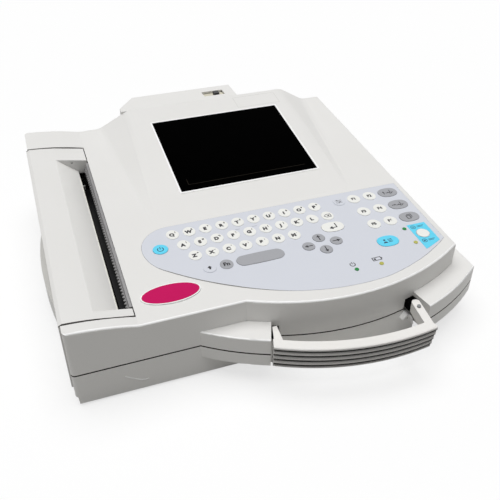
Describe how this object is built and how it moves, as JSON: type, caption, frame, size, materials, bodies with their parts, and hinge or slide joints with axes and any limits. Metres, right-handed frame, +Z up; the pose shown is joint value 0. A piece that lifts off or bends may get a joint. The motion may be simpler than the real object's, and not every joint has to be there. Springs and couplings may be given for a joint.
{
  "type": "ecg machine",
  "caption": "Desk-top electrocardiograph with sloping keypad deck, raised display, side paper drawer with tear bar, curved pull-out carrying handle and rear hood.",
  "frame": {"origin": "middle of the whole machine in plan, on the table under its feet", "axes": "+X to the machine's right, +Y from the handle to the rear hood, +Z up"},
  "size_m": [0.3695, 0.4082, 0.1035],
  "materials": {
    "housing_plastic": "satin",
    "grip_plastic": "satin",
    "foot_rubber": "matte",
    "steel_screw": "satin",
    "steel_sheet": "satin",
    "circuit_board": "satin",
    "black_parts": "satin",
    "supply_case": "satin",
    "battery_wrap": "satin",
    "window_black": "polished",
    "lcd_glass": "satin",
    "overlay_film": "satin",
    "key_white": "satin",
    "key_grey": "satin",
    "key_blue": "satin",
    "light_green": "polished",
    "light_yellow": "polished",
    "badge_white": "polished",
    "badge_magenta": "polished",
    "roller_rubber": "matte",
    "shaft_steel": "polished",
    "gear_plastic": "satin",
    "bearing_plastic": "satin",
    "motor_steel": "satin",
    "pinion_brass": "satin",
    "head_aluminium": "satin",
    "bar_steel": "satin",
    "catch_cream": "satin",
    "socket_black": "satin",
    "stud_brass": "polished"
  },
  "bodies": {
    "housing": {"top_cover": "housing_plastic", "base_cover": "housing_plastic", "rubber_feet": "foot_rubber", "cover_screws": "steel_screw", "chassis_plate": "steel_sheet", "chassis_screws": "steel_screw", "main_board": "circuit_board", "board_parts": "black_parts", "power_supply": "supply_case", "battery_pack": "battery_wrap", "display_window": "window_black", "lcd_module": "lcd_glass", "keypad_overlay": "overlay_film", "keypad_circuit": "circuit_board", "letter_keys": "key_white", "function_keys": "key_white", "alternate_key": "key_grey", "shift_setup_keys": "overlay_film", "start_panel": "key_blue", "lights_green": "light_green", "lights_yellow": "light_yellow", "badge_rim": "badge_white", "badge_field": "badge_magenta", "drawer_rails": "bearing_plastic", "motor": "motor_steel", "print_head": "head_aluminium", "head_springs": "shaft_steel", "head_bracket": "steel_sheet", "tear_bar": "bar_steel", "handle_guides": "grip_plastic", "rear_hood": "housing_plastic", "mains_inlet": "socket_black", "serial_socket": "socket_black", "patient_socket": "socket_black", "earth_stud": "stud_brass"},
    "drawer": {"drawer_door": "housing_plastic", "drawer_grip": "housing_plastic", "drawer_tray": "grip_plastic", "platen_bearings": "bearing_plastic"},
    "platen": {"platen_roller": "roller_rubber", "platen_shaft": "shaft_steel", "platen_gear": "gear_plastic"},
    "rotor": {"motor_pinion": "pinion_brass", "motor_shaft": "shaft_steel"},
    "handle": {"carry_handle": "grip_plastic", "handle_pin": "shaft_steel"},
    "catch": {"rear_catch": "catch_cream", "catch_nub": "socket_black"},
    "key_on_cap": {"key_on": "key_blue"},
    "key_space_cap": {"key_space": "key_grey"},
    "key_enter_cap": {"key_enter": "key_white"},
    "key_up_cap": {"key_up": "key_grey"},
    "key_down_cap": {"key_down": "key_grey"},
    "key_left_cap": {"key_left": "key_grey"},
    "key_right_cap": {"key_right": "key_grey"},
    "key_gain_cap": {"key_gain": "key_grey"},
    "key_speed_cap": {"key_speed": "key_grey"},
    "key_filter_cap": {"key_filter": "key_grey"},
    "key_patient_cap": {"key_patient": "key_blue"},
    "key_start_cap": {"key_start": "key_white"}
  },
  "joints": [
    {"name": "drawer_slide", "type": "slide", "parent": "housing", "child": "drawer", "axis": [-1, 0, 0], "range_m": [0, 0.13]},
    {"name": "platen_spin", "type": "hinge", "parent": "drawer", "child": "platen", "pos_m": [-0.13595, -0.00668, 0.0475], "axis": [0, 1, 0], "continuous": true},
    {"name": "motor_spin", "type": "hinge", "parent": "housing", "child": "rotor", "pos_m": [-0.11785, 0.11482, 0.0475], "axis": [0, 1, 0], "continuous": true},
    {"name": "handle_slide", "type": "slide", "parent": "housing", "child": "handle", "axis": [0, -1, 0], "range_m": [-0.001, 0.012]},
    {"name": "catch_slide", "type": "slide", "parent": "housing", "child": "catch", "axis": [1, 0, 0], "range_m": [0, 0.0045]},
    {"name": "key_on_press", "type": "slide", "parent": "housing", "child": "key_on_cap", "axis": [0, 0.052, -0.9986], "range_m": [0, 0.0005], "stiffness_N_per_m": 4000},
    {"name": "key_space_press", "type": "slide", "parent": "housing", "child": "key_space_cap", "axis": [0, 0.052, -0.9986], "range_m": [0, 0.0005], "stiffness_N_per_m": 4000},
    {"name": "key_enter_press", "type": "slide", "parent": "housing", "child": "key_enter_cap", "axis": [0, 0.052, -0.9986], "range_m": [0, 0.0005], "stiffness_N_per_m": 4000},
    {"name": "key_up_press", "type": "slide", "parent": "housing", "child": "key_up_cap", "axis": [0, 0.052, -0.9986], "range_m": [0, 0.0005], "stiffness_N_per_m": 4000},
    {"name": "key_down_press", "type": "slide", "parent": "housing", "child": "key_down_cap", "axis": [0, 0.052, -0.9986], "range_m": [0, 0.0005], "stiffness_N_per_m": 4000},
    {"name": "key_left_press", "type": "slide", "parent": "housing", "child": "key_left_cap", "axis": [0, 0.052, -0.9986], "range_m": [0, 0.0005], "stiffness_N_per_m": 4000},
    {"name": "key_right_press", "type": "slide", "parent": "housing", "child": "key_right_cap", "axis": [0, 0.052, -0.9986], "range_m": [0, 0.0005], "stiffness_N_per_m": 4000},
    {"name": "key_gain_press", "type": "slide", "parent": "housing", "child": "key_gain_cap", "axis": [0, 0.052, -0.9986], "range_m": [0, 0.0005], "stiffness_N_per_m": 4000},
    {"name": "key_speed_press", "type": "slide", "parent": "housing", "child": "key_speed_cap", "axis": [0, 0.052, -0.9986], "range_m": [0, 0.0005], "stiffness_N_per_m": 4000},
    {"name": "key_filter_press", "type": "slide", "parent": "housing", "child": "key_filter_cap", "axis": [0, 0.052, -0.9986], "range_m": [0, 0.0005], "stiffness_N_per_m": 4000},
    {"name": "key_patient_press", "type": "slide", "parent": "housing", "child": "key_patient_cap", "axis": [0, 0.052, -0.9986], "range_m": [0, 0.0005], "stiffness_N_per_m": 4000},
    {"name": "key_start_press", "type": "slide", "parent": "housing", "child": "key_start_cap", "axis": [0, 0.052, -0.9986], "range_m": [0, 0.0005], "stiffness_N_per_m": 4000}
  ],
  "couplings": [
    {"joint": "motor_spin", "follows": "platen_spin", "ratio": -2}
  ]
}
